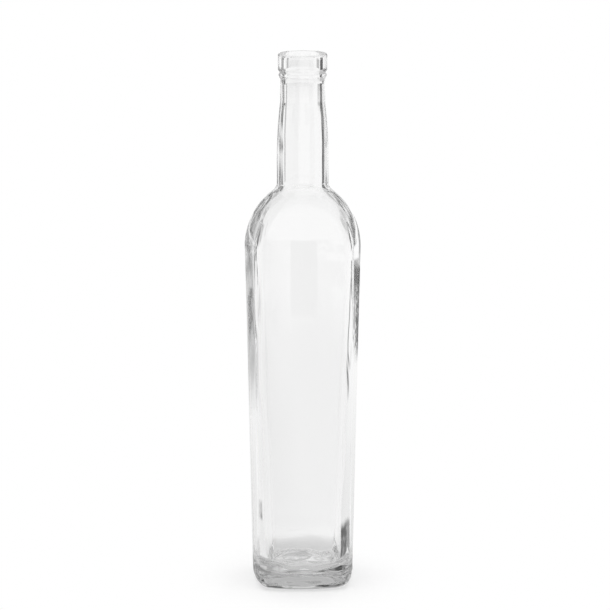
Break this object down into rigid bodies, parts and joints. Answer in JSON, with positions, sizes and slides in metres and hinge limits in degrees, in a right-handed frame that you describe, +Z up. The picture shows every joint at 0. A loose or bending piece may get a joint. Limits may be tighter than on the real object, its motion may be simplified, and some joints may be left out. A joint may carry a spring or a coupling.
{
  "type": "glass oil bottle",
  "caption": "Tall clear glass bottle for oil: a tapered rounded square body, domed shoulder and round neck with a sealing ring and bead at an open mouth.",
  "frame": {"origin": "middle of the standing plane, under the bottle's axis", "axes": "+Z up along the bottle's axis towards the mouth; X and Y square to the body's four faces"},
  "size_m": [0.063, 0.063, 0.294],
  "materials": {
    "clear_glass": "smooth clear moulded glass, faintly wavy inside, with a finely stippled standing ring"
  },
  "bodies": {
    "root": {"bottle": "clear_glass"}
  },
  "joints": []
}
